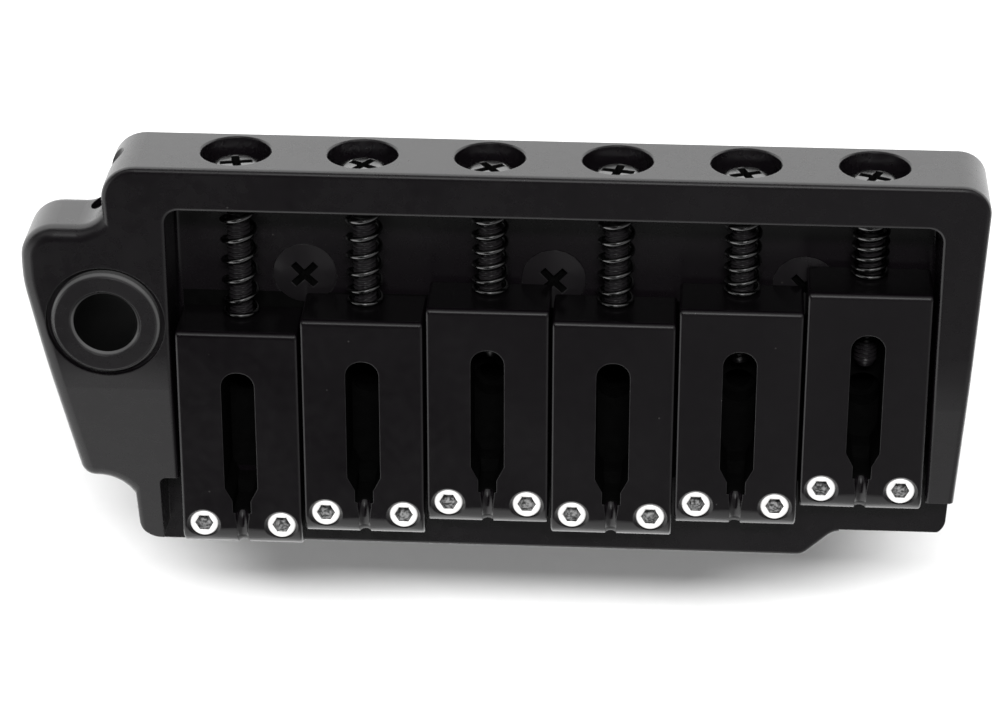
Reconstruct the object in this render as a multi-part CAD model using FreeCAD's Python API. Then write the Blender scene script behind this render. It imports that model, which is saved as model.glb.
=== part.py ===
"""Two-point guitar tremolo bridge: a cast frame with its sustain block, and six saddles on their screws.

Millimetres. X runs across the strings to the bass side, Y to the tail and Z up from the guitar's face.
The origin lies on the underside of the frame's front edge, under the middle of the six strings.
"""
import math
import os

import FreeCAD
import Part

V = FreeCAD.Vector
across = V(1, 0, 0)
tailward = V(0, 1, 0)
up = V(0, 0, 1)
down = V(0, 0, -1)

# Room left between pieces
thread_room = 0.03
rest_room = 0.02
press_room = 0.01
cut_over = 1.0

# Row of strings, and the length of each spring between its saddle and the back wall, treble side first
string_pitch = 10.8
spring_lengths = (11.3, 9.9, 8.5, 9.4, 8.0, 6.1)

# Saddles
saddle_width = 10.55
saddle_length = 21.35
saddle_height = 5.7
saddle_foot_room = 0.4
saddle_side_room = 0.425
saddle_nose_radius = 2.2
saddle_heel_radius = 0.5
saddle_foot_radius = 0.3
saddle_edge_radius = 0.25
slot_from_heel = 3.8
slot_width = 2.9
slot_round_share = 0.475
slot_taper_from_nose = 6.2
neck_from_nose = 4.9
neck_width = 1.6
neck_depth = 3.9
neck_end_from_nose = 3.7
groove_radius = 0.6
groove_depth = 0.25

# Height screws, M2.5 grub screws with a flat tip
height_screw_from_side = 1.85
height_screw_from_nose = 2.45
height_screw_radius = 1.25
height_screw_sink = 0.25
height_tip_radius = 0.8
height_tip_taper = 0.5
hex_flats_height = 1.3
hex_depth = 1.3
screw_mouth_radius = 1.5
edge_break = 0.12

# Frame casting
frame_height = 7.8
floor_top = 1.8
rear_y = 39.0
wall_thickness = 3.9
left_wall_front = 3.7
left_wall_rear = 5.5
right_wall_front = 2.2
right_wall_rear = 4.1
front_left_radius = 1.6
right_front_radius = 1.6
right_rear_radius = 2.5
wall_left_radius = 3.0
frame_soft_radius = 0.5
pocket_corner_radius = 1.2
pocket_rim_radius = 0.35
crease_set_back = 18.5
crease_radius = 40.0
slope_drop = 2.6
right_wall_front_y = 8.2
relief_width = 1.7
relief_rear_y = 8.6
relief_radius = 0.6
nose_set_back = 2.1
nose_corner_radius = 2.0
upward_share = 0.9

# Set-back pivot edge on the bass side, bevelled to a blunt knife edge
pivot_edge_length = 9.8
pivot_set_back = 2.5
step_run = 2.7
step_radius = 1.5
knife_height = 1.1
knife_depth = 2.0
knife_top_bevel = 0.3

# Arm bush and the grub screw that grips it
bush_flange_radius = 4.7
bush_flange_height = 1.0
bush_recess_depth = 0.7
bush_recess_room = 0.45
bush_land = 0.35
bush_sleeve_radius = 4.0
bush_bore_radius = 2.75
bush_tail = 3.0
bush_lip_chamfer = 0.35
grub_radius = 1.5
grub_sink = 0.4
grub_z = 2.9
hex_flats_grub = 1.5

# Wing of the frame, which carries the bush and ends in the treble pivot notch
wing_under = 0.4
wing_set_back = 5.8
wing_root_radius = 2.4
wing_reach = 7.1
wing_rear_radius = 3.0
wing_side_length = 5.2
wing_bend_radius = 12.0
wing_front_length = 16.15
wing_front_radius = 1.4
wing_front_cut_share = 0.82
wing_soft_radius = 1.2
wing_foot_radius = 1.5
bush_set_back = 8.7
notch_radius = 3.4
wing_lap = 2.0
wing_lap_run = 0.6
wing_tuck = 0.1

# Sustain block
block_end_wall = 3.0
block_set_back = 7.0
block_thickness = 22.0
block_toe_thickness = 13.0
block_depth = 34.0
block_shoulder_depth = 10.0
block_soft_radius = 0.8
block_toe_radius = 1.6
block_shoulder_radius = 3.2
block_end_radius = 0.4
string_hole_from_front = 7.0
string_hole_radius = 1.1
floor_hole_radius = 1.6
ball_pocket_radius = 2.4
ball_pocket_top = 14.0
spring_hole_from_front = 2.7
spring_hole_radius = 1.6
spring_hole_depth = 9.0

# Block screws, M3 with a raised countersunk head
block_screw_from_rear = 5.2
block_screw_radius = 1.5
block_screw_length = 10.0
block_tip_chamfer = 0.24
block_head_radius = 2.75
block_head_rim = 0.2
block_head_crown = 0.35

# Intonation screws, M2 pan heads in the back wall
intonation_z = 3.55
intonation_radius = 1.0
intonation_shank = 16.4
intonation_tip_radius = 0.65
intonation_tip_taper = 0.6
intonation_head_radius = 2.2
intonation_head_height = 1.2
intonation_head_soft = 0.8
wall_recess_radius = 3.0
wall_recess_depth = 2.2
wall_recess_chamfer = 0.12
wall_hole_room = 0.25

# Cross recess of the pan and countersunk heads
cross_width = 0.65
cross_span = 2.7
cross_depth = 0.9
cross_turns_deg = (12, 57, 33, 78, 21, 66)
block_cross_turn_deg = 45

# Intonation springs
spring_radius = 1.4
spring_wire_radius = 0.225
spring_turns = 6

# Worked out from the sizes above
strings = len(spring_lengths)
row_half_width = (strings - 1) / 2 * string_pitch
string_xs = [k * string_pitch - row_half_width for k in range(strings)]
pocket_half_width = row_half_width + saddle_width / 2 + saddle_side_room
wall_inner_y = rear_y - wall_thickness
crease_y = rear_y - crease_set_back
saddle_rear_ys = [wall_inner_y - length for length in spring_lengths]
saddle_bottom = floor_top + saddle_foot_room
saddle_top = saddle_bottom + saddle_height
height_screw_spacing = saddle_width - 2 * height_screw_from_side
seat_y = rear_y - wall_recess_depth
front_left_x = -pocket_half_width - left_wall_front
wall_left_x = -pocket_half_width - left_wall_rear
right_front_x = pocket_half_width + right_wall_front
right_rear_x = pocket_half_width + right_wall_rear
relief_left_x = -pocket_half_width - relief_width
step_end_x = right_front_x - pivot_edge_length
step_start_x = step_end_x - step_run
bush_recess_radius = bush_flange_radius + bush_recess_room
bush_x = -pocket_half_width - bush_land - bush_recess_radius
bush_shelf = frame_height - bush_recess_depth
bush_top = bush_shelf + bush_flange_height
wing_rear_y = rear_y - wing_set_back
bush_y = wing_rear_y - bush_set_back
wing_left_x = bush_x - wing_reach
wing_bend_y = wing_rear_y - wing_side_length
wing_front_y = bush_y - wing_front_length
block_half_width = row_half_width + block_end_wall
block_rear_y = rear_y - block_set_back
block_front_y = block_rear_y - block_thickness
block_toe_y = block_front_y + block_toe_thickness
string_hole_y = block_front_y + string_hole_from_front
spring_hole_y = block_front_y + spring_hole_from_front
block_screw_y = block_rear_y - block_screw_from_rear
block_screw_xs = [k * string_pitch for k in (-2, 0, 2)]


def arc_edge(start, middle, end):
    return Part.Arc(start, middle, end).toShape()


def rounded_wire(corners):
    """Closed wire in the XY plane through corners (x, y, radius), each corner rounded by its radius."""
    points = [V(x, y, 0) for x, y, radius in corners]
    spans = []
    for k, (x, y, radius) in enumerate(corners):
        corner = points[k]
        to_last = (points[k - 1] - corner).normalize()
        to_next = (points[(k + 1) % len(points)] - corner).normalize()
        half = to_last.getAngle(to_next) / 2
        inward = (to_last + to_next).normalize()
        cut = radius / math.tan(half)
        reach = radius / math.sin(half) - radius
        spans.append((corner + to_last * cut, corner + inward * reach, corner + to_next * cut))
    edges = []
    for k, (start, middle, end) in enumerate(spans):
        if corners[k][2]:
            edges.append(arc_edge(start, middle, end))
        edges.append(Part.LineSegment(end, spans[(k + 1) % len(spans)][0]).toShape())
    return Part.Wire(edges)


def prism(corners, base_z, height):
    """Upright prism on a rounded outline."""
    solid = Part.Face(rounded_wire(corners)).extrude(up * height)
    solid.translate(up * base_z)
    return solid


def side_prism(corners, left_x, right_x):
    """Prism along X on an outline of corners (y, z, radius)."""
    solid = Part.Face(rounded_wire(corners)).extrude(up * (right_x - left_x))
    solid.rotate(V(), V(1, 1, 1), 120)
    solid.translate(across * left_x)
    return solid


def rod(radius, start, axis, length):
    return Part.makeCylinder(radius, length, start, axis)


def taper(start_radius, end_radius, start, axis, length):
    return Part.makeCone(start_radius, end_radius, length, start, axis)


def box(x0, x1, y0, y1, z0, z1):
    return Part.makeBox(x1 - x0, y1 - y0, z1 - z0, V(x0, y0, z0))


def without(solid, tools):
    """The solid less all the tools, with the seams of the cuts tidied away."""
    cut = solid.cut(Part.makeCompound(tools)).removeSplitter()
    return cut.Solids[0] if len(cut.Solids) == 1 else cut


def hexagon(flats, top, depth):
    """Hex socket going down from a point."""
    corner_radius = flats / math.sqrt(3)
    corners = [top + V(math.cos(a), math.sin(a), 0) * corner_radius for a in
               (k * math.pi / 3 for k in range(7))]
    return Part.Face(Part.makePolygon(corners)).extrude(down * depth)


def cross_recess(top_z, turn_deg):
    """Cross-shaped driver recess going down from the Z axis."""
    blade = box(-cross_span / 2, cross_span / 2, -cross_width / 2, cross_width / 2,
                top_z - cross_depth, top_z + cut_over)
    other = blade.copy()
    other.rotate(V(), up, 90)
    cross = blade.fuse(other)
    cross.rotate(V(), up, turn_deg)
    return cross


def turned(profile):
    """Solid of revolution about Z from a closed profile of (radius, z) points."""
    points = [V(r, 0, z) for r, z in profile]
    face = Part.Face(Part.makePolygon(points + points[:1]))
    return face.revolve(V(), up, 360)


def domed(radius, foot_z, rise):
    """Flat-footed dome on the Z axis, the cap of a ball."""
    ball_radius = (radius * radius + rise * rise) / (2 * rise)
    ball = Part.makeSphere(ball_radius, up * (foot_z + rise - ball_radius))
    return ball.common(rod(radius, up * foot_z, up, rise + cut_over))


def frame_left_x(y):
    """Left side of the frame, a straight line from the front corner to the back wall's end."""
    return front_left_x + (wall_left_x - front_left_x) * y / rear_y


def sloped(blank):
    """The blank with its top cut flat at the rear and sloping down to the front, with a soft crease."""
    top = side_prism([
        (crease_y, frame_height, crease_radius),
        (-crease_y, frame_height - 2 * slope_drop, 0),
        (-crease_y, frame_height + 2 * cut_over, 0),
        (rear_y + cut_over, frame_height + 2 * cut_over, 0),
        (rear_y + cut_over, frame_height, 0),
    ], wing_left_x - cut_over, right_rear_x + cut_over)
    return without(blank, [top])


def rim_edges(blank):
    """Outer edges of the blank's upward faces."""
    upward = [f for f in blank.Faces if f.normalAt(*f.Surface.parameter(f.CenterOfMass)).z > upward_share]
    edges = [e for f in upward for e in f.Edges]
    return [e for e in edges if sum(e.isSame(other) for other in edges) == 1]


def make_frame():
    """Frame of the casting before its pocket and holes are cut."""
    blank = sloped(prism([
        (front_left_x, 0, front_left_radius),
        (step_start_x, 0, step_radius),
        (step_end_x, pivot_set_back, step_radius),
        (right_front_x, pivot_set_back, right_front_radius),
        (right_rear_x, rear_y, right_rear_radius),
        (wall_left_x, rear_y, wall_left_radius),
    ], 0, frame_height + cut_over))
    return blank.makeFillet(frame_soft_radius, rim_edges(blank))


def make_wing():
    """Wing of the casting, lapped into the frame's left side, with rounded upper and lower edges."""
    lap_rear_y = wing_rear_y + wing_root_radius + wing_lap_run
    lap_front_y = wing_front_y - notch_radius - wing_lap_run
    lap_x = front_left_x + wing_lap
    notch_x = frame_left_x(wing_front_y) + wing_tuck
    front_x = notch_x - notch_radius - wing_front_cut_share * wing_front_radius
    blank = sloped(prism([
        (lap_x, lap_front_y, 0),
        (lap_x, lap_rear_y, 0),
        (frame_left_x(lap_rear_y) + wing_tuck, lap_rear_y, 0),
        (frame_left_x(wing_rear_y) + wing_tuck, wing_rear_y, wing_root_radius),
        (wing_left_x, wing_rear_y, wing_rear_radius),
        (wing_left_x, wing_bend_y, wing_bend_radius),
        (front_x, wing_front_y, wing_front_radius),
        (notch_x, wing_front_y, notch_radius),
        (frame_left_x(lap_front_y) + wing_tuck, lap_front_y, 0),
    ], wing_under, frame_height + cut_over - wing_under))
    top = [e for e in rim_edges(blank) if all(v.X < lap_x - press_room for v in e.Vertexes)]
    blank = blank.makeFillet(wing_soft_radius, top)
    foot = [e for e in blank.Edges if all(v.X < lap_x - press_room and abs(v.Z - wing_under) < press_room
                                          for v in e.Vertexes)]
    return blank.makeFillet(wing_foot_radius, foot)


def make_base_plate():
    pocket = prism([
        (-pocket_half_width, -cut_over, 0),
        (pocket_half_width, -cut_over, 0),
        (pocket_half_width, wall_inner_y, pocket_corner_radius),
        (-pocket_half_width, wall_inner_y, pocket_corner_radius),
    ], floor_top, frame_height)
    relief = prism([
        (relief_left_x, -cut_over, 0),
        (-pocket_half_width + cut_over, -cut_over, 0),
        (-pocket_half_width + cut_over, relief_rear_y, 0),
        (relief_left_x, relief_rear_y, relief_radius),
    ], floor_top, frame_height)
    ledge = box(pocket_half_width - cut_over, right_rear_x, 0, right_wall_front_y,
                floor_top, frame_height)
    nose_rear_y = nose_set_back + nose_corner_radius + wing_lap_run
    nose = prism([
        (front_left_x - cut_over, -cut_over, 0),
        (relief_left_x + cut_over, -cut_over, 0),
        (relief_left_x + cut_over, nose_set_back, 0),
        (frame_left_x(nose_set_back) - press_room, nose_set_back, nose_corner_radius),
        (frame_left_x(nose_rear_y) - press_room, nose_rear_y, 0),
        (front_left_x - cut_over, nose_rear_y, 0),
    ], floor_top, frame_height)
    knife_under = side_prism([
        (pivot_set_back - cut_over, -cut_over, 0),
        (pivot_set_back + knife_depth + knife_depth * cut_over / knife_height, -cut_over, 0),
        (pivot_set_back, knife_height, 0),
        (pivot_set_back - cut_over, knife_height, 0),
    ], step_end_x + frame_soft_radius, right_rear_x)
    knife_over = side_prism([
        (pivot_set_back - cut_over, floor_top + cut_over, 0),
        (pivot_set_back - cut_over, knife_height, 0),
        (pivot_set_back, knife_height, 0),
        (pivot_set_back + knife_top_bevel, floor_top, 0),
        (pivot_set_back + knife_top_bevel, floor_top + cut_over, 0),
    ], step_end_x + frame_soft_radius, right_rear_x)
    blank = without(make_frame().fuse(make_wing()), [pocket])
    rim = [e for e in rim_edges(blank) if all(abs(v.X) < pocket_half_width + press_room
                                              and v.Y < wall_inner_y + press_room for v in e.Vertexes)]
    blank = blank.makeFillet(pocket_rim_radius, rim)
    tools = [relief, ledge, nose, knife_under, knife_over]
    floor_through = floor_top + 2 * cut_over
    for x in string_xs:
        seat = V(x, seat_y, intonation_z)
        tools.append(rod(wall_recess_radius, seat, tailward, wall_recess_depth + cut_over))
        mouth = V(x, rear_y - wall_recess_chamfer, intonation_z)
        flare = 2 * wall_recess_chamfer
        tools.append(taper(wall_recess_radius, wall_recess_radius + flare, mouth, tailward, flare))
        tools.append(rod(intonation_radius + wall_hole_room, V(x, wall_inner_y - cut_over, intonation_z),
                         tailward, wall_thickness))
        tools.append(rod(floor_hole_radius, V(x, string_hole_y, -cut_over), up, floor_through))
    for x in block_screw_xs:
        foot = V(x, block_screw_y, -cut_over)
        tools.append(rod(block_screw_radius + thread_room, foot, up, floor_through))
        tools.append(block_head_seat(x))
    bush_foot = V(bush_x, bush_y, -cut_over)
    tools.append(rod(bush_sleeve_radius + press_room, bush_foot, up, frame_height + 2 * cut_over))
    tools.append(rod(bush_recess_radius, V(bush_x, bush_y, bush_shelf), up, bush_recess_depth + cut_over))
    tools.append(rod(grub_radius + thread_room, V(bush_x, bush_y, grub_z), tailward, rear_y - bush_y))
    return without(blank, tools)


def block_head_seat(x):
    """Countersink in the floor for a block screw's head."""
    depth = block_head_radius - block_screw_radius
    rim = V(x, block_screw_y, floor_top - block_head_rim)
    cone = taper(block_screw_radius + thread_room, block_head_radius + thread_room,
                 rim + down * depth, up, depth)
    return cone.fuse(rod(block_head_radius + thread_room, rim, up, cut_over))


def make_sustain_block():
    blank = side_prism([
        (block_front_y, -rest_room, 0),
        (block_front_y, -block_depth, block_soft_radius),
        (block_toe_y, -block_depth, block_toe_radius),
        (block_rear_y, -block_shoulder_depth, block_shoulder_radius),
        (block_rear_y, -rest_room, 0),
    ], -block_half_width, block_half_width)
    ends = [e for e in blank.Edges if all(abs(abs(v.X) - block_half_width) < rest_room for v in e.Vertexes)
            and not all(abs(v.Z + rest_room) < press_room for v in e.Vertexes)]
    blank = blank.makeFillet(block_end_radius, ends)
    tools = []
    for x in string_xs:
        bottom = V(x, string_hole_y, -block_depth - cut_over)
        tools.append(rod(string_hole_radius, bottom, up, block_depth + 2 * cut_over))
        tools.append(rod(ball_pocket_radius, bottom, up, block_depth - ball_pocket_top + cut_over))
    for left_x, right_x in zip(string_xs, string_xs[1:]):
        bottom = V((left_x + right_x) / 2, spring_hole_y, -block_depth - cut_over)
        tools.append(rod(spring_hole_radius, bottom, up, spring_hole_depth + cut_over))
    for x in block_screw_xs:
        tools.append(rod(block_screw_radius + thread_room, V(x, block_screw_y, cut_over), down,
                         block_screw_length + 2 * cut_over))
    return without(blank, tools)


def make_block_screw(x):
    """Raised countersunk screw, its head's rim just under the pocket floor."""
    rim_top = floor_top - rest_room
    rim_foot = floor_top - block_head_rim
    shank_top = rim_foot - (block_head_radius - block_screw_radius)
    tip_z = floor_top - block_screw_length
    screw = turned([
        (0, tip_z),
        (block_screw_radius - block_tip_chamfer, tip_z),
        (block_screw_radius, tip_z + block_tip_chamfer),
        (block_screw_radius, shank_top),
        (block_head_radius, rim_foot),
        (block_head_radius, rim_top),
        (0, rim_top),
    ])
    screw = screw.fuse(domed(block_head_radius, rim_top, block_head_crown))
    screw = without(screw, [cross_recess(rim_top + block_head_crown, block_cross_turn_deg)])
    screw.translate(V(x, block_screw_y, 0))
    return screw


def make_arm_bush():
    chamfer = bush_lip_chamfer
    bush = turned([
        (bush_bore_radius, -bush_tail),
        (bush_sleeve_radius - chamfer, -bush_tail),
        (bush_sleeve_radius, -bush_tail + chamfer),
        (bush_sleeve_radius, bush_shelf + rest_room),
        (bush_flange_radius, bush_shelf + rest_room),
        (bush_flange_radius, bush_top - chamfer),
        (bush_flange_radius - chamfer, bush_top),
        (bush_bore_radius + chamfer, bush_top),
        (bush_bore_radius, bush_top - chamfer),
    ])
    bush.translate(V(bush_x, bush_y, 0))
    return bush


def make_grub(radius, length, flats):
    """Grub screw standing on its tip at the origin, with its hex socket on top."""
    screw = turned([
        (0, 0),
        (height_tip_radius, 0),
        (radius, height_tip_taper),
        (radius, length - edge_break),
        (radius - edge_break, length),
        (0, length),
    ])
    return without(screw, [hexagon(flats, V(0, 0, length), hex_depth)])


def make_arm_tension_screw():
    screw = make_grub(grub_radius, bush_set_back - bush_sleeve_radius - grub_sink, hex_flats_grub)
    screw.rotate(V(), across, -90)
    screw.translate(V(bush_x, bush_y + bush_sleeve_radius + rest_room, grub_z))
    return screw


def make_height_screw(x, heel_y, side):
    tip_z = floor_top + rest_room
    screw = make_grub(height_screw_radius, saddle_top - height_screw_sink - tip_z, hex_flats_height)
    nose_y = heel_y - saddle_length
    screw.translate(V(x + side * height_screw_spacing / 2, nose_y + height_screw_from_nose, tip_z))
    return screw


def make_intonation_screw(x, turn_deg):
    """Pan head screw along Y, its head seated in the back wall and its tip in the saddle's slot."""
    shank = turned([
        (0, -intonation_shank),
        (intonation_tip_radius, -intonation_shank),
        (intonation_radius, intonation_tip_taper - intonation_shank),
        (intonation_radius, rest_room),
        (0, rest_room),
    ])
    head = rod(intonation_head_radius, up * rest_room, up, intonation_head_height - rest_room)
    rim = [e for e in head.Edges if all(abs(v.Z - intonation_head_height) < press_room for v in e.Vertexes)]
    screw = shank.fuse(head.makeFillet(intonation_head_soft, rim))
    screw = without(screw, [cross_recess(intonation_head_height, turn_deg)])
    screw.rotate(V(), across, -90)
    screw.translate(V(x, seat_y, intonation_z))
    return screw


def make_saddle(x, heel_y):
    """Saddle with its string slot, made with its heel at Y = 0 and then set in place."""
    blank = side_prism([
        (0, saddle_bottom, saddle_foot_radius),
        (0, saddle_top, saddle_heel_radius),
        (-saddle_length, saddle_top, saddle_nose_radius),
        (-saddle_length, saddle_bottom, saddle_foot_radius),
    ], -saddle_width / 2, saddle_width / 2)
    flanks = [e for e in blank.Edges
              if all(abs(abs(v.X) - saddle_width / 2) < rest_room for v in e.Vertexes)]
    blank = blank.makeFillet(saddle_edge_radius, flanks)
    under = saddle_bottom - cut_over
    deep = saddle_height + 2 * cut_over
    taper_y = slot_taper_from_nose - saddle_length
    neck_y = neck_from_nose - saddle_length
    slot = prism([
        (-slot_width / 2, -slot_from_heel, slot_round_share * slot_width),
        (-slot_width / 2, taper_y, 0),
        (-neck_width / 2, neck_y, 0),
        (neck_width / 2, neck_y, 0),
        (slot_width / 2, taper_y, 0),
        (slot_width / 2, -slot_from_heel, slot_round_share * slot_width),
    ], under, deep)
    neck = box(-neck_width / 2, neck_width / 2, neck_end_from_nose - saddle_length, neck_y + groove_radius,
               saddle_top - neck_depth, saddle_top + cut_over)
    nose_axis = V(0, saddle_nose_radius - saddle_length, saddle_top - saddle_nose_radius)
    groove_lift = groove_radius - groove_depth
    ring = Part.makeTorus(saddle_nose_radius + groove_lift, groove_radius, nose_axis, across)
    groove = ring.common(box(-groove_radius, groove_radius, -saddle_length - cut_over, 0,
                             nose_axis.z, saddle_top + cut_over))
    thread = rod(intonation_radius + thread_room, V(0, cut_over, intonation_z), -tailward,
                 cut_over + slot_from_heel + slot_width)
    tools = [slot, neck, groove, thread]
    mouth = screw_mouth_radius - height_screw_radius
    for side in (-1, 1):
        foot = V(side * height_screw_spacing / 2, height_screw_from_nose - saddle_length, under)
        tools.append(rod(height_screw_radius + thread_room, foot, up, deep))
        mouth_foot = V(foot.x, foot.y, saddle_top - mouth)
        tools.append(taper(height_screw_radius, screw_mouth_radius + mouth, mouth_foot, up, 2 * mouth))
    saddle = without(blank, tools)
    saddle.translate(V(x, heel_y, 0))
    return saddle


def biarc(start, start_way, end, end_way):
    """Two arcs that leave start and reach end along the given unit directions."""
    span = end - start
    ways = start_way + end_way
    square = 2 * (1 - start_way.dot(end_way))
    lean = span.dot(ways)
    reach = (math.sqrt(lean * lean + square * span.dot(span)) - lean) / square
    joint = (start + start_way * reach + end - end_way * reach) / 2
    return [bent(start, start_way, joint), bent(end, end_way * -1, joint)]


def bent(start, way, end):
    """Arc from start, leaving along way, to end."""
    chord = end - start
    along = V(chord).normalize()
    side = (way - along * way.dot(along)).normalize()
    half_angle = way.getAngle(chord)
    middle = start + chord / 2 + side * (chord.Length / 2 * math.tan(half_angle / 2))
    return arc_edge(start, middle, end)


def make_intonation_spring(x, heel_y):
    """Open coil between the back wall and a saddle, one tube along biarcs of half a turn."""
    wall_end = wall_inner_y - spring_wire_radius - rest_room
    saddle_end = heel_y + spring_wire_radius + rest_room
    rise = (saddle_end - wall_end) / (2 * math.pi * spring_turns)

    def point(angle):
        return V(x + spring_radius * math.cos(angle), wall_end + rise * angle,
                 intonation_z + spring_radius * math.sin(angle))

    def way(angle):
        return V(-spring_radius * math.sin(angle), rise, spring_radius * math.cos(angle)).normalize()

    angles = [k * math.pi for k in range(2 * spring_turns + 1)]
    edges = []
    for a, b in zip(angles, angles[1:]):
        edges += biarc(point(a), way(a), point(b), way(b))
    route = Part.Wire(Part.__sortEdges__(edges))
    wire = Part.Wire(Part.makeCircle(spring_wire_radius, point(0), way(0)))
    shell = Part.BRepOffsetAPI.MakePipeShell(route)
    shell.add(wire)
    shell.build()
    shell.makeSolid()
    return shell.shape(), least_turn_gap(route)


def least_turn_gap(route):
    """Least room between neighbouring turns of a spring, on points along its middle line."""
    samples = 48
    points = route.discretize(samples * spring_turns + 1)
    half_turn = samples // 2
    gaps = [points[i].distanceToPoint(points[j]) for i in range(len(points))
            for j in range(i + half_turn, len(points))]
    return min(gaps) - 2 * spring_wire_radius


def main():
    os.makedirs("parts", exist_ok=True)
    pieces = {
        "base_plate": make_base_plate(),
        "sustain_block": make_sustain_block(),
        "arm_bush": make_arm_bush(),
        "arm_tension_screw": make_arm_tension_screw(),
    }
    for place, x in zip(("treble", "middle", "bass"), block_screw_xs):
        pieces["block_screw_" + place] = make_block_screw(x)
    gaps = []
    for k, (x, heel_y) in enumerate(zip(string_xs, saddle_rear_ys)):
        name = str(k + 1)
        pieces["saddle_" + name] = make_saddle(x, heel_y)
        pieces["intonation_screw_" + name] = make_intonation_screw(x, cross_turns_deg[k])
        pieces["intonation_spring_" + name], gap = make_intonation_spring(x, heel_y)
        gaps.append(gap)
        pieces["height_screw_%s_left" % name] = make_height_screw(x, heel_y, -1)
        pieces["height_screw_%s_right" % name] = make_height_screw(x, heel_y, 1)
    print("least gap between spring turns: %.2f mm" % min(gaps))
    for name, shape in pieces.items():
        print(name, len(shape.Solids), "valid" if shape.isValid() else "INVALID", round(shape.Volume, 1))
        shape.exportStep("parts/%s.step" % name)


main()
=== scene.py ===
"""Guitar tremolo bridge: its black finishes, threads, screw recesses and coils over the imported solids."""
import math

import bpy
from mathutils import Matrix, Vector


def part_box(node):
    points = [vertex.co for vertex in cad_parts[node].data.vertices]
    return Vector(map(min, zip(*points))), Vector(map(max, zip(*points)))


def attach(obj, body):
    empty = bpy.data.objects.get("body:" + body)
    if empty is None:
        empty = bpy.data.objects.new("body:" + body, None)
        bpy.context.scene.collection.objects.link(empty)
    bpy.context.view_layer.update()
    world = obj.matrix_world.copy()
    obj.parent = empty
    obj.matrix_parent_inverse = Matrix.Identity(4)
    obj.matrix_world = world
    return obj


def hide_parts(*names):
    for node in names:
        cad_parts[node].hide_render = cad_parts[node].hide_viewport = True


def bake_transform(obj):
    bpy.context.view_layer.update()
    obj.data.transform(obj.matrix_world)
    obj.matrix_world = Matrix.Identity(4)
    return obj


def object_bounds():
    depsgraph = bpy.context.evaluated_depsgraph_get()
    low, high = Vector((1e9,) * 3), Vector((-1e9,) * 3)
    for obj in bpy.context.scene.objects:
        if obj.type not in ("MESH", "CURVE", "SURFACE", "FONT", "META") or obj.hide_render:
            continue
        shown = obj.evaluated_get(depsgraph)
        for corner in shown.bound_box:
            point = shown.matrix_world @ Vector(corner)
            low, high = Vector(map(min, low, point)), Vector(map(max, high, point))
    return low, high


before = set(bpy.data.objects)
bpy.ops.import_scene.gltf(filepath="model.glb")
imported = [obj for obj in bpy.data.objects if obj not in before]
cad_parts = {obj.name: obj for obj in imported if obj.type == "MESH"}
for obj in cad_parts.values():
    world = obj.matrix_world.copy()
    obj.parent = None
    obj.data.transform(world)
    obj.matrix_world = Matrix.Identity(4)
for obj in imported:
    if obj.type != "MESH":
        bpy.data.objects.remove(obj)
cad_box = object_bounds()
mm = 0.001


# Sustain block: the weight under the plate that holds the strings' ball ends and the tremolo springs' hooks.
# A zinc casting, blasted and sprayed matt black, so its skin is coarser than anything above the plate.
# The three block screws pull it up against the plate's underside.

class Flow:
    """One socket of a finish. Sums and products of flows and numbers add Math nodes."""

    def __init__(self, finish, socket):
        self.finish = finish
        self.socket = socket

    def maths(self, operation, first, second):
        return self.finish.add("Math", {"operation": operation}, {0: first, 1: second})

    def __add__(self, other):
        return self.maths("ADD", self, other)

    __radd__ = __add__

    def __sub__(self, other):
        return self.maths("SUBTRACT", self, other)

    def __rsub__(self, other):
        return self.maths("SUBTRACT", other, self)

    def __mul__(self, other):
        return self.maths("MULTIPLY", self, other)

    __rmul__ = __mul__

    def __truediv__(self, other):
        return self.maths("DIVIDE", self, other)

    def __rtruediv__(self, other):
        return self.maths("DIVIDE", other, self)

    def __gt__(self, other):
        return self.maths("GREATER_THAN", self, other)

    def __lt__(self, other):
        return self.maths("LESS_THAN", self, other)


class Finish:
    """The nodes of a material or of the surroundings, in the part's own coordinates."""

    def __init__(self, owner):
        owner.use_nodes = True
        self.owner = owner
        self.tree = owner.node_tree
        self.tree.nodes.clear()

    def add(self, kind, settings=None, sockets=None, out=0):
        """A node of that kind, with its settings made first and its sockets then set or linked."""
        node = self.tree.nodes.new("ShaderNode" + kind)
        for name, value in (settings or {}).items():
            setattr(node, name, value)
        for name, value in (sockets or {}).items():
            if isinstance(value, Flow):
                self.tree.links.new(value.socket, node.inputs[name])
            else:
                node.inputs[name].default_value = value
        return Flow(self, node.outputs[out]) if node.outputs else None

    def grain(self, size, detail):
        """Noise from 0 to 1 with lumps of about that size."""
        place = self.add("TexCoord", out="Object")
        return self.add("TexNoise", None, {"Vector": place, "Scale": 1 / size, "Detail": detail})

    def band(self, value, low, high):
        """Smooth step from 0 at low to 1 at high."""
        return self.add("MapRange", {"interpolation_type": "SMOOTHSTEP"}, {0: value, 1: low, 2: high})

    def mix(self, share, first, second):
        """Colour between two others."""
        return self.add("Mix", {"data_type": "RGBA"}, {0: share, 6: first, 7: second}, out=2)

    def facing(self, first, second):
        """Dot product: the cosine between two directions, or a place measured along an axis."""
        return self.add("VectorMath", {"operation": "DOT_PRODUCT"}, {0: first, 1: second}, out="Value")


def grey(level, warmth=0.0):
    """Opaque near-neutral colour, a little warmer or colder."""
    return (level * (1 + warmth), level, level * (1 - warmth), 1)


def violet_black(level):
    """Black with a faint violet cast, which fades as the finish gets paler."""
    cast = 0.0004
    return (level + cast, level, level + cast, 1)


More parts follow.
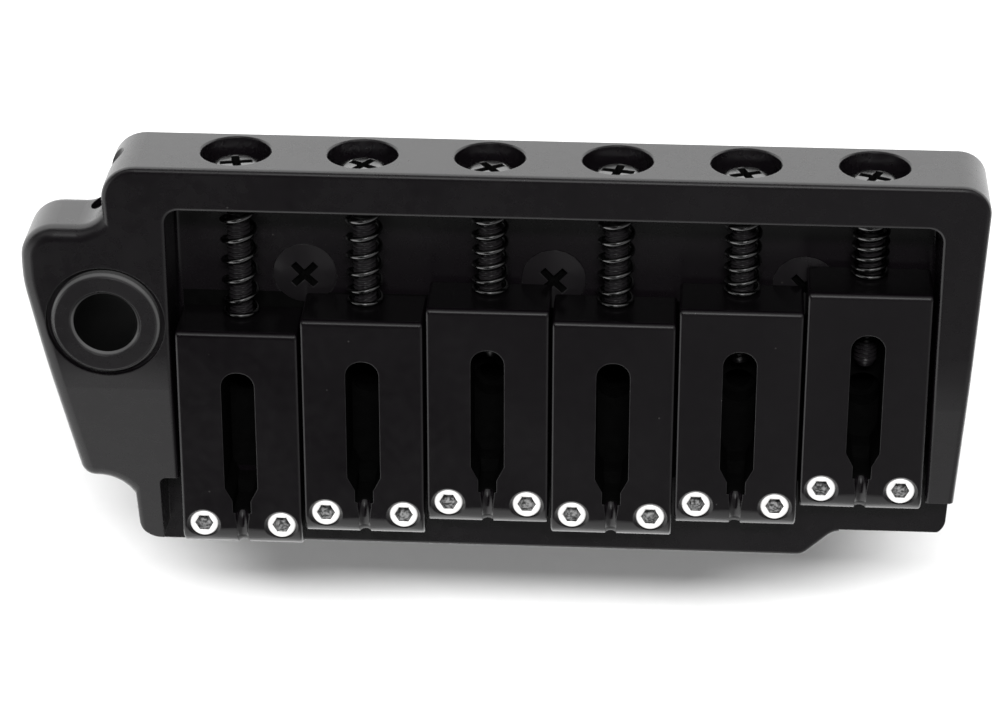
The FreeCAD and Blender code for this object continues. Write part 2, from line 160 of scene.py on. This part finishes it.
def painted_shade_black(skin):
    """Near-black that barely reflects: painted shade for slots, bores, recesses and hidden faces."""
    shade_grain_size = 0.9 * mm
    shade_grain = skin.grain(shade_grain_size, 4)
    return skin.add("BsdfPrincipled", None, {
        "Base Color": skin.mix(shade_grain, grey(0.0005), grey(0.0015)),
        "Roughness": 0.9,
        "Specular IOR Level": 0.05})


def black_skin(name, level, roughness, peel_size, peel_depth, edge_radius, worn_level,
               metallic=0.0, lines=None, lips=None, painted_shade=None):
    """Black finish over metal: cloudy colour, fine peel, softened edges rubbed a little bright, and dust.

    Lines adds tool marks to the peel, lips tells where it is rubbed if not at its edges, and the
    painted-shade mask tells where the finish gives way to dull black, as painted shade.
    """
    cloud_size = 9 * mm
    mottle_size = 0.9 * mm
    dust_spacing = 1.7 * mm
    dust_radius_share = 0.045
    dusty_cell = 0.72
    dust_cover = 0.35
    dust_grey = grey(0.03, 0.05)
    worn_cover = 0.6
    cloud_depth = 0.25
    cloud_dulling = 0.12
    mottle_dulling = 0.1
    worn_polish = 0.06
    dust_dulling = 0.3
    flat_cosine = 0.99
    edge_cosine = 0.86
    skin = Finish(bpy.data.materials.new(name))
    cloud = skin.grain(cloud_size, 3)
    mottle = skin.grain(mottle_size, 4)
    peel = skin.grain(peel_size, 2)
    true_normal = skin.add("NewGeometry", out="Normal")
    soft_normal = skin.add("Bevel", {"samples": 6}, {"Radius": edge_radius})
    edge = skin.band(skin.facing(true_normal, soft_normal), flat_cosine, edge_cosine)
    rubbed = lips(skin) if lips else edge * skin.band(mottle, 0.4, 0.7)
    upward = skin.band(skin.facing(true_normal, (0, 0, 1)), 0.4, 0.9)
    place = skin.add("TexCoord", out="Object")
    cells = {"Vector": place, "Scale": 1 / dust_spacing}
    speck = skin.add("TexVoronoi", None, cells) < dust_radius_share
    chosen = skin.add("TexVoronoi", None, cells, out="Color") > dusty_cell
    dust = speck * chosen * upward
    darker = violet_black((1 - cloud_depth) * level)
    paler = violet_black((1 + cloud_depth) * level)
    colour = skin.mix(cloud, darker, paler)
    colour = skin.mix(worn_cover * rubbed, colour, grey(worn_level))
    colour = skin.mix(dust_cover * dust, colour, dust_grey)
    dullness = roughness + mottle_dulling * (mottle - 0.5) + cloud_dulling * (cloud - 0.5)
    dullness = dullness - worn_polish * rubbed + dust_dulling * dust
    height = peel if lines is None else 0.5 * peel + lines(skin)
    bumped = skin.add("Bump", None, {"Distance": peel_depth, "Height": height, "Normal": soft_normal})
    surface = skin.add("BsdfPrincipled", None, {
        "Base Color": colour,
        "Roughness": dullness,
        "Metallic": metallic,
        "Normal": bumped,
        "Specular IOR Level": 0.75})
    # Painted shade: where the mask says, the finish gives way to dull black.
    if painted_shade:
        surface = skin.add("MixShader", None, {0: painted_shade(skin), 1: surface, 2: painted_shade_black(skin)})
    skin.add("OutputMaterial", None, {"Surface": surface})
    return skin.owner


def dress(node, material):
    """Puts a finish on a piece of the frame."""
    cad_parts[node].data.materials.clear()
    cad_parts[node].data.materials.append(material)


block_low, block_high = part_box("sustain_block")


def painted_shade_seat_and_bores(skin):
    """The face that meets the plate and the string holes through it, painted dull black as painted shade."""
    seat_depth = 0.1 * mm
    bores_from_front = 7.0 * mm
    string_bore_radius = 1.12 * mm
    place = skin.add("TexCoord", out="Object")
    across = skin.facing(place, (1, 0, 0))
    above = skin.facing(place, (0, 0, 1))
    off_bores = skin.facing(place, (0, 1, 0)) - (block_low.y + bores_from_front)
    in_line = skin.add("Math", {"operation": "ABSOLUTE"}, {0: off_bores}) < string_bore_radius
    inside = (across > block_low.x + seat_depth) * (across < block_high.x - seat_depth)
    inside = inside * (above > block_low.z + seat_depth)
    return (above > block_high.z - seat_depth) + in_line * inside


dress("sustain_block", black_skin("blasted_block", level=0.012, roughness=0.5, peel_size=0.5 * mm,
                                  peel_depth=0.04 * mm, edge_radius=0.15 * mm, worn_level=0.04,
                                  painted_shade=painted_shade_seat_and_bores))


# Base plate: the frame that everything sits in, with its pocket, back wall and arm wing in one casting.
# Die-cast zinc, tumbled so that its edges are soft, then sprayed satin black with a faint orange peel.
# The pocket floor under the saddles is painted a dull black as painted shade.

row_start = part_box("saddle_1")[0]
row_end_low, row_end_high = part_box("saddle_6")


def painted_shade_under_saddles(skin):
    """Painted shade: the pocket floor and its string holes under the row of saddles, made dull black."""
    floor_top = 1.82 * mm
    heel_cover = 4 * mm
    place = skin.add("TexCoord", out="Object")
    across = skin.facing(place, (1, 0, 0))
    along = skin.facing(place, (0, 1, 0))
    below = skin.facing(place, (0, 0, 1)) < floor_top
    in_row = (across > row_start.x) * (across < row_end_high.x)
    return below * in_row * (along > row_end_low.y) * (along < row_end_high.y - heel_cover)


dress("base_plate", black_skin("satin_frame", level=0.0014, roughness=0.27, peel_size=0.5 * mm,
                               peel_depth=0.0016 * mm, edge_radius=0.12 * mm, worn_level=0.02,
                               painted_shade=painted_shade_under_saddles))


# Block screws: three raised countersunk screws in the pocket floor that hold the block up to the plate.
# Cold-headed steel with a punched cross recess and a rolled thread, blackened in hot oxide.

cross_half_width = 0.325 * mm
cross_half_span = 1.35 * mm
cross_corner = math.atan(cross_half_width / cross_half_span)
cross_depth = 0.9 * mm
cross_mouth = 0.06 * mm
cross_floor_share = 0.72
corner_deg = math.degrees(cross_corner)
cross_angles = []
for arm in range(4):
    for offset_deg in (-45, -36, -27, -20, -corner_deg, -6, 0, 6, corner_deg, 20, 27, 36):
        cross_angles.append(math.radians(90 * arm + offset_deg))


def cross_radius(angle):
    """Distance from the middle of a cross recess to its outline."""
    off_arm = abs((angle + math.pi / 4) % (math.pi / 2) - math.pi / 4)
    if off_arm <= cross_corner:
        return cross_half_span / math.cos(off_arm)
    return cross_half_width / math.sin(off_arm)


def cross_rings(surface):
    """Rings that sink a cross recess into a head, where surface gives the head's height at a radius."""
    foot = surface(0) - cross_depth

    def mouth(angle):
        radius = cross_radius(angle) + cross_mouth
        return radius, surface(radius)

    def lip(angle):
        radius = cross_radius(angle)
        return radius, surface(radius) - cross_mouth

    def floor(angle):
        return cross_floor_share * cross_radius(angle), foot

    return [mouth, lip, floor]


def threaded(radius, pitch, start, end):
    """Rings of a rolled right-hand thread between two heights, running out at both ends."""
    rings_a_turn = 6
    depth_share = 0.55
    depth = depth_share * pitch
    count = round((end - start) / pitch * rings_a_turn)

    def ring_at(height):
        run_out = min(1, (height - start) / pitch, (end - height) / pitch)

        def ring(angle):
            turn = 2 * math.pi * height / pitch - angle
            return radius - depth * run_out * (1 - math.cos(turn)) / 2, height
        return ring
    return [ring_at(start + (end - start) * k / count) for k in range(count + 1)]


def arc_rings(middle_radius, middle_height, radius, start_deg, end_deg, steps):
    """Rings along an arc of a turned profile, its angle measured from the outward side to the top."""
    angles = [math.radians(start_deg + (end_deg - start_deg) * k / steps) for k in range(steps + 1)]
    return [(middle_radius + radius * math.cos(a), middle_height + radius * math.sin(a)) for a in angles]


def turned_piece(name, rings, angles, seat):
    """Closed piece turned about Z and then set in place.

    Each ring is a (radius, height), or a function that gives one for an angle.
    """
    sharp_edge = math.radians(38)
    points = []
    radii = []
    for ring in rings:
        for angle in angles:
            radius, height = ring(angle) if callable(ring) else ring
            points.append(seat @ Vector((radius * math.cos(angle), radius * math.sin(angle), height)))
            radii.append(radius)
    around = len(angles)
    faces = []
    for k in range(len(rings) - 1):
        for j in range(around):
            near = k * around + j
            beside = k * around + (j + 1) % around
            faces.append((near, beside, beside + around, near + around))
    for first, way in ((0, -1), (len(points) - around, 1)):
        rim = list(range(first, first + around))
        middle = len(points)
        points.append(sum((points[k] for k in rim), Vector()) / around)
        radii.append(0)
        for near, beside in zip(rim, rim[1:] + rim[:1]):
            faces.append((near, beside, middle)[::way])
    mesh = bpy.data.meshes.new(name)
    mesh.from_pydata(points, [], faces)
    mesh.attributes.new("turn_radius", "FLOAT", "POINT").data.foreach_set("value", radii)
    mesh.shade_smooth()
    mesh.set_sharp_from_angle(angle=sharp_edge)
    piece = bpy.data.objects.new(name, mesh)
    bpy.context.collection.objects.link(piece)
    return piece


def fit(piece, node, body, material):
    """Gives a piece its finish and lets it stand for a node of the frame."""
    piece.data.materials.append(material)
    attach(piece, body)
    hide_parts(node)


def inlay(piece, material, chosen):
    """Gives a further finish to the faces whose middle is chosen."""
    piece.data.materials.append(material)
    for face in piece.data.polygons:
        if chosen(face.center):
            face.material_index = len(piece.data.materials) - 1


def turning_lines(skin):
    """Fine rings left by the lathe or the header, from each point's distance to the screw's axis."""
    line_spacing = 0.06 * mm
    radius = skin.add("Attribute", {"attribute_name": "turn_radius"}, out="Fac")
    return skin.add("TexNoise", {"noise_dimensions": "1D"}, {"W": radius / line_spacing, "Scale": 1.0})


oxide = black_skin("black_oxide_screw", level=0.0035, roughness=0.3, peel_size=0.25 * mm,
                   peel_depth=0.0015 * mm, edge_radius=0.04 * mm, worn_level=0.06, lines=turning_lines)
# Dull black in the cross recesses: painted shade in the hollow.
recess = Finish(bpy.data.materials.new("recess_painted_shade"))
recess.add("OutputMaterial", None, {"Surface": painted_shade_black(recess)})
recess_span = cross_half_span + cross_mouth
recess_start = 0.1 * mm
block_screw_radius = 1.5 * mm
block_screw_pitch = 0.5 * mm
block_head_rim = 0.18 * mm
block_head_crown = 0.35 * mm
block_tip_chamfer = 0.24 * mm
crown_shares = (0.96, 0.85, 0.72, 0.6)
block_cross_turn = Matrix.Rotation(math.radians(45), 4, "Z")
for place in ("treble", "middle", "bass"):
    node = "block_screw_" + place
    low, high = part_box(node)
    head_radius = (high.x - low.x) / 2
    axis = Vector(((low.x + high.x) / 2, (low.y + high.y) / 2, 0))
    rim = high.z - block_head_crown
    cone_foot = rim - block_head_rim - (head_radius - block_screw_radius)
    crown_radius = (head_radius ** 2 + block_head_crown ** 2) / (2 * block_head_crown)

    def crown(radius):
        return high.z - crown_radius + math.sqrt(crown_radius ** 2 - radius ** 2)

    rings = [(block_screw_radius - block_tip_chamfer, low.z)]
    rings += threaded(block_screw_radius, block_screw_pitch, low.z + block_tip_chamfer, cone_foot)
    rings += [(head_radius, rim - block_head_rim), (head_radius, rim)]
    rings += [(share * head_radius, crown(share * head_radius)) for share in crown_shares]
    rings += cross_rings(crown)
    screw = turned_piece(node + "_oxide", rings, cross_angles, Matrix.Translation(axis) @ block_cross_turn)
    fit(screw, node, "bridge", oxide)

    def in_recess(point):
        radius = (point - axis).xy.length
        return radius < recess_span and rim - cross_depth < point.z < crown(radius) - recess_start

    inlay(screw, recess.owner, in_recess)


# Arm bush: the flanged ring pressed into the wing, which the tremolo arm pushes into.
# Turned steel, black plated, with the lathe's fine rings left on its flange and its chamfers burnished.
# The chamfers' lighter colour is also partly a painted highlight.

bush_low, bush_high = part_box("arm_bush")
flange_radius = (bush_high.x - bush_low.x) / 2
arm_bore_radius = 2.75 * mm
lip_chamfer = 0.35 * mm


def bush_radius(skin):
    """Distance from the bush's own axis."""
    place = skin.add("TexCoord", out="Object")
    axis = ((bush_low.x + bush_high.x) / 2, (bush_low.y + bush_high.y) / 2, 0)
    from_axis = skin.add("VectorMath", {"operation": "SUBTRACT"}, {0: place, 1: axis})
    flat = skin.add("VectorMath", {"operation": "MULTIPLY"}, {0: from_axis, 1: (1, 1, 0)})
    return skin.add("VectorMath", {"operation": "LENGTH"}, {0: flat}, out="Value")


def bush_lines(skin):
    """The lathe's rings on the flange."""
    line_spacing = 0.09 * mm
    lines = bush_radius(skin) / line_spacing
    return skin.add("TexNoise", {"noise_dimensions": "1D"}, {"W": lines, "Scale": 1.0})


def bush_lips(skin):
    """The two chamfers, lightened: burnished by the arm and by the press, and partly a painted highlight."""
    fades_at = 0.8 * lip_chamfer
    bright_at = 0.4 * lip_chamfer
    radius = bush_radius(skin)
    outer = skin.band(radius, flange_radius - fades_at, flange_radius - bright_at)
    inner = skin.band(radius, arm_bore_radius + fades_at, arm_bore_radius + bright_at)
    return outer + inner


def bore_painted_shade(skin):
    """The bore, painted dull black as painted shade."""
    wall_skin = 0.02 * mm
    return bush_radius(skin) < arm_bore_radius + wall_skin


dress("arm_bush", black_skin("plated_bush", level=0.004, roughness=0.28, peel_size=0.3 * mm,
                             peel_depth=0.002 * mm, edge_radius=0.12 * mm, worn_level=0.06,
                             lines=bush_lines, lips=bush_lips, painted_shade=bore_painted_shade))


# Arm tension screw: the hex-socket grub screw in the wing's rear corner that bears on the bush.
# Blackened M3 steel with a broached socket, run into the casting until only its socket shows.

hex_mouth = 0.14 * mm
hex_steps = 48
hex_angles = [math.radians(360 * k / hex_steps) for k in range(hex_steps)]


def hex_rings(flats, top, depth):
    """Rings that sink a hex socket, with a small countersink at its mouth."""

    def corner_share(angle):
        return 1 / math.cos(angle % (math.pi / 3) - math.pi / 6)

    def lip(angle):
        return flats / 2 * corner_share(angle), top - hex_mouth

    def floor(angle):
        return flats / 2 * corner_share(angle), top - depth

    countersink = flats / math.sqrt(3) + hex_mouth
    drill_radius = 0.3 * flats
    return [(countersink, top), lip, floor, (drill_radius, top - depth - drill_radius)]


def grub_rings(radius, pitch, tip, top, flats, depth, crown):
    """Rings of a hex-socket grub screw from its flat tip to a rounded top."""
    tip_share = 0.64
    crown_start_deg = 15
    crown_steps = 6
    tip_radius = tip_share * radius
    rings = [(tip_radius, tip)]
    rings += threaded(radius, pitch, tip + radius - tip_radius, top - crown)
    rings += arc_rings(radius - crown, top - crown, crown, crown_start_deg, 90, crown_steps)
    return rings + hex_rings(flats, top, depth)


grub_pitch = 0.5 * mm
grub_flats = 1.5 * mm
grub_socket_depth = 1.3 * mm
grub_crown = 0.15 * mm
low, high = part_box("arm_tension_screw")
grub_radius = (high.x - low.x) / 2
grub_axis = Vector(((low.x + high.x) / 2, low.y, (low.z + high.z) / 2))
lay_along_y = Matrix.Rotation(math.radians(-90), 4, "X")
grub_seat = Matrix.Translation(grub_axis) @ lay_along_y
rings = grub_rings(grub_radius, grub_pitch, 0, high.y - low.y, grub_flats, grub_socket_depth, grub_crown)
grub = turned_piece("arm_tension_screw_oxide", rings, hex_angles, grub_seat)
fit(grub, "arm_tension_screw", "arm_tension_screw", oxide)


# Saddles: six blocks that carry the strings over their rounded noses, each with a slot for string and screw.
# Die-cast and tumbled, then black plated, so they are a little smoother and glossier than the frame.
# The string slot is painted a dull black, and the heel face and string groove partly so, as painted shade.

strings = range(1, 7)
saddle_low, saddle_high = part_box("saddle_1")
saddle_size = saddle_high - saddle_low


def saddle_painted_shade(skin):
    """Painted shade in dull black: all through the string slot, and in part on the heel and the string
    groove.
    """
    slot_width = 2.9 * mm
    slot_end_from_nose = 3.6 * mm
    below_top = 0.15 * mm
    heel_round = 0.5 * mm
    groove_width = 1.0 * mm
    groove_shade_length = 1.3 * mm
    partial_shade_share = 0.6
    skin_depth = 0.02 * mm
    place = skin.add("TexCoord", out="Generated")
    across = skin.facing(place, (saddle_size.x, 0, 0))
    along = skin.facing(place, (0, saddle_size.y, 0))
    above = skin.facing(place, (0, 0, saddle_size.z))
    off_middle = skin.add("Math", {"operation": "ABSOLUTE"}, {0: across - saddle_size.x / 2})
    slot = (off_middle < slot_width / 2 + skin_depth) * (along > slot_end_from_nose)
    slot = slot * (above < saddle_size.z - below_top) * (along < saddle_size.y - below_top)
    heel = (along > saddle_size.y - skin_depth) * (above < saddle_size.z - heel_round)
    groove = (off_middle < groove_width / 2) * (along < groove_shade_length)
    return slot + partial_shade_share * heel + partial_shade_share * groove


saddle_skin = black_skin("plated_saddle", level=0.0009, roughness=0.23, peel_size=0.3 * mm,
                         peel_depth=0.001 * mm, edge_radius=0.1 * mm, worn_level=0.02, painted_shade=saddle_painted_shade)
for k in strings:
    dress("saddle_%d" % k, saddle_skin)


# Height screws: twelve hex-socket grub screws that stand each saddle on the pocket floor.
# Satin nickel plate on M2.5 steel, whose tops catch the light as white rings round the darker sockets.
# The sockets' darker, blotchy steel colour is painted shade.

tarnish_size = 0.5 * mm
lathe_depth = 0.001 * mm
nickel = Finish(bpy.data.materials.new("satin_nickel"))
lathe = turning_lines(nickel)
tarnish = nickel.grain(tarnish_size, 4)
nickel_bump = nickel.add("Bump", None, {"Distance": lathe_depth, "Height": lathe})
nickel.add("OutputMaterial", None, {"Surface": nickel.add("BsdfPrincipled", None, {
    "Base Color": nickel.mix(tarnish, grey(0.92), grey(0.8, 0.02)),
    "Metallic": 0.5,
    "Roughness": 0.28 + 0.12 * tarnish + 0.06 * lathe,
    "Normal": nickel_bump})})

broach_size = 0.3 * mm
broach_depth = 0.004 * mm
# The socket's darker, blotchy colour is painted shade inside the hollow.
socket_shade = Finish(bpy.data.materials.new("socket_painted_shade"))
broach = socket_shade.grain(broach_size, 3)
socket_bump = socket_shade.add("Bump", None, {"Distance": broach_depth, "Height": broach})
socket_shade.add("OutputMaterial", None, {"Surface": socket_shade.add("BsdfPrincipled", None, {
    "Base Color": socket_shade.mix(socket_shade.band(broach, 0.35, 0.65), grey(0.05), grey(0.45)),
    "Metallic": 0.6,
    "Roughness": 0.35 + 0.2 * broach,
    "Normal": socket_bump})})

thread_pitch = 0.45 * mm
top_round = 0.2 * mm
socket_flats = 1.4 * mm
socket_depth = 1.3 * mm
socket_reach = 0.56 * socket_flats
for k in strings:
    for side in ("left", "right"):
        node = "height_screw_%d_%s" % (k, side)
        low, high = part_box(node)
        axis = Vector(((low.x + high.x) / 2, (low.y + high.y) / 2, low.z))
        radius = (high.x - low.x) / 2
        rings = grub_rings(radius, thread_pitch, 0, high.z - low.z, socket_flats, socket_depth, top_round)
        screw = turned_piece(node + "_nickel", rings, hex_angles, Matrix.Translation(axis))
        fit(screw, node, node, nickel.owner)
        socket_top = high.z - hex_mouth

        def in_socket(point):
            return point.z < socket_top and (point - axis).xy.length < socket_reach

        inlay(screw, socket_shade.owner, in_socket)


# Intonation screws: six pan heads in the back wall whose long threads pull the saddles to and fro.
# Steel with a punched cross recess and a rolled thread. The head is plated in glossy black nickel, and the
# thread keeps its black oxide.

black_nickel = black_skin("black_nickel_screw", level=0.19, roughness=0.24, peel_size=0.2 * mm,
                          peel_depth=0.001 * mm, edge_radius=0.04 * mm, worn_level=0.27, metallic=1.0,
                          lines=turning_lines)
shank_radius = 1.0 * mm
shank_pitch = 0.4 * mm
head_height = 1.18 * mm
head_soft = 0.8 * mm
head_arc_end_deg = 88
head_arc_steps = 7
face_dome = 0.04 * mm
face_sink = 0.02 * mm
neck_length = 0.3 * mm
tip_taper = 0.6 * mm
tip_radius = 0.65 * mm
cross_turns_deg = (12, 57, 33, 78, 21, 66)
for k, turn_deg in zip(strings, cross_turns_deg):
    node = "intonation_screw_%d" % k
    low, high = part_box(node)
    head_radius = (high.z - low.z) / 2
    foot = Vector(((low.x + high.x) / 2, high.y, (low.z + high.z) / 2))
    length = high.y - low.y

    def face(radius):
        return face_dome * (1 - (radius / head_radius) ** 2) - face_dome

    rings = [(tip_radius, -length)]
    rings += threaded(shank_radius, shank_pitch, tip_taper - length, -head_height - neck_length)
    rings += [(shank_radius, -head_height), (head_radius, -head_height)]
    rings += arc_rings(head_radius - head_soft, -head_soft - face_sink, head_soft,
                       0, head_arc_end_deg, head_arc_steps)
    rings += cross_rings(face)
    seat = Matrix.Translation(foot) @ lay_along_y @ Matrix.Rotation(math.radians(turn_deg), 4, "Z")
    screw = turned_piece(node + "_nickel", rings, cross_angles, seat)
    fit(screw, node, node, black_nickel)
    head_foot = high.y - head_height

    def on_thread(point):
        return point.y < head_foot

    def in_recess(point):
        radius = (point - foot).xz.length
        return radius < recess_span and head_foot < point.y < high.y - recess_start

    inlay(screw, oxide, on_thread)
    # The cross recess gets the dull black of painted shade.
    inlay(screw, recess.owner, in_recess)


# Intonation springs: an open coil on each screw that keeps its saddle from rattling.
# Drawn steel wire, wound with squared ends and thinly blackened. It bears on the saddle's heel and the back
# wall, with a little room at the wall for the tilt of the saddle and its screw.

wire_skin = black_skin("black_oxide_wire", level=0.2, roughness=0.2, peel_size=0.15 * mm,
                       peel_depth=0.001 * mm, edge_radius=0.02 * mm, worn_level=0.26, metallic=1.0)
wire_radius = 0.225 * mm
spring_turns = 6.5
squared_turns = 0.5
tilt_room = 0.3 * mm
steps_a_turn = 48
wire_sides = 12
wire_end_edge = math.radians(60)
coil_way = Vector((0, 1, 0))
for k in strings:
    node = "intonation_spring_%d" % k
    low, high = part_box(node)
    middle = (low + high) / 2
    coil_radius = (high.x - low.x) / 2 - wire_radius
    wall_end = high.y - wire_radius - tilt_room
    saddle_end = low.y + wire_radius
    steps = round(spring_turns * steps_a_turn)
    points = []
    for step in range(steps + 1):
        turn = step / steps_a_turn
        angle = 2 * math.pi * turn
        out = Vector((math.cos(angle), 0, math.sin(angle)))
        run = (turn - squared_turns) / (spring_turns - 2 * squared_turns)
        along = wall_end + (saddle_end - wall_end) * min(1, max(0, run))
        centre = Vector((middle.x, along, middle.z)) + coil_radius * out
        for j in range(wire_sides):
            around = 2 * math.pi * j / wire_sides
            points.append(centre + wire_radius * (math.cos(around) * out + math.sin(around) * coil_way))
    faces = []
    for step in range(steps):
        for j in range(wire_sides):
            near = step * wire_sides + j
            beside = step * wire_sides + (j + 1) % wire_sides
            faces.append((near, near + wire_sides, beside + wire_sides, beside))
    faces.append(tuple(range(wire_sides)))
    faces.append(tuple(range(steps * wire_sides, (steps + 1) * wire_sides))[::-1])
    mesh = bpy.data.meshes.new(node)
    mesh.from_pydata(points, [], faces)
    mesh.shade_smooth()
    mesh.set_sharp_from_angle(angle=wire_end_edge)
    mesh.materials.append(wire_skin)
    coil = bpy.data.objects.new(node + "_coil", mesh)
    bpy.context.collection.objects.link(coil)
    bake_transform(coil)
    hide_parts(node)


# Studio: pale paper under the block, a wide soft lamp high over the tail end, and a dim room whose panels
# ahead and behind show in the black finishes. The lamp leaves the bridge's shadow as a sliver ahead of the
# front edge, and the camera looks down from the tail end.

floor_half = 3.0
fibre_size = 2 * mm
corner_ways = ((-1, -1), (1, -1), (1, 1), (-1, 1))
floor_corners = [(floor_half * x, floor_half * y, cad_box[0].z) for x, y in corner_ways]
floor_mesh = bpy.data.meshes.new("paper_floor")
floor_mesh.from_pydata(floor_corners, [], [(0, 1, 2, 3)])
paper = Finish(bpy.data.materials.new("pale_paper"))
fibre = paper.grain(fibre_size, 3)
paper.add("OutputMaterial", None, {"Surface": paper.add("BsdfPrincipled", None, {
    "Base Color": paper.mix(fibre, grey(0.68), grey(0.72)), "Roughness": 0.9})})
floor_mesh.materials.append(paper.owner)
floor = bpy.data.objects.new("paper_floor", floor_mesh)
bpy.context.collection.objects.link(floor)

lamp_data = bpy.data.lights.new("soft_lamp", "AREA")
lamp_data.shape = "ELLIPSE"
lamp_data.size = 0.52
lamp_data.size_y = 0.11
lamp_data.energy = 24
lamp = bpy.data.objects.new("soft_lamp", lamp_data)
lamp_aim = Vector((0, 18 * mm, 0))
lamp_height = math.radians(54.3)
lamp_aside = 0.035
lamp_way = Vector((lamp_aside, math.cos(lamp_height), math.sin(lamp_height)))
lamp.location = lamp_aim + lamp_way
lamp.rotation_euler = lamp_way.to_track_quat("Z", "Y").to_euler()
lamp.visible_glossy = False
bpy.context.collection.objects.link(lamp)

front_way = (-0.25, -1, 0)
front_side_edge = (-0.3, 0.5)
front_top_edge = (0.84, 0.72)
front_light = 0.25
front_treble_light = 0.78
rear_way = (0, 1, 0)
rear_side_edge = (0.2, 0.6)
rear_foot_edge = (0.3, 0.4)
rear_top_edge = (0.82, 0.7)
rear_light = 0.4
treble_edge = (0.3, -0.3)
bass_edge = (-0.14, 0.06)
ceiling_light = 0.008
ceiling_bass_light = 0.15
skyline_edge = (0.2, 0.05)
skyline_light = 0.12
glow_edge = (0.965, 0.995)
glow_light = 1.8
brightest = 4
room = Finish(bpy.data.worlds.new("dim_room"))
way = room.add("TexCoord", out="Generated")
height = room.facing(way, (0, 0, 1))
aside = room.facing(way, (1, 0, 0))
forward = room.band(room.facing(way, front_way), *front_side_edge)
rearward = room.band(room.facing(way, rear_way), *rear_side_edge)
skyline = room.band(height, *skyline_edge)
front_panel = forward * room.band(height, *front_top_edge)
front_panel = front_panel * (front_light + front_treble_light * room.band(aside, *treble_edge))
rear_panel = rearward * room.band(height, *rear_foot_edge) * room.band(height, *rear_top_edge)
ceiling = ceiling_light + ceiling_bass_light * room.band(aside, *bass_edge)
glow = room.band(room.facing(way, lamp_way.normalized()), *glow_edge)
light = ceiling + skyline_light * skyline + front_panel + rear_light * rear_panel + glow_light * glow
room.add("OutputWorld", None, {"Surface": room.add("Background", None, {
    "Color": room.mix(light / brightest, grey(0.0), grey(brightest))})})
bpy.context.scene.world = room.owner

image_width = 996
focal_pixels = 3553.1
camera_data = bpy.data.cameras.new("camera")
camera_data.sensor_width = 36
camera_data.lens = camera_data.sensor_width * focal_pixels / image_width
camera = bpy.data.objects.new("camera", camera_data)
camera_place = Vector((11.06, 160.36, 278.03)) * mm
camera_back = Vector((0.0511, 0.4556, 0.8887)).normalized()
camera_right = Vector((0.9983, 0.0006, -0.0577))
camera_up = camera_back.cross(camera_right).normalized()
camera_right = camera_up.cross(camera_back)
camera_turn = Matrix((camera_right, camera_up, camera_back)).transposed().to_4x4()
camera.matrix_world = Matrix.Translation(camera_place) @ camera_turn
bpy.context.collection.objects.link(camera)
bpy.context.scene.camera = camera
bpy.context.scene.view_settings.view_transform = "Standard"
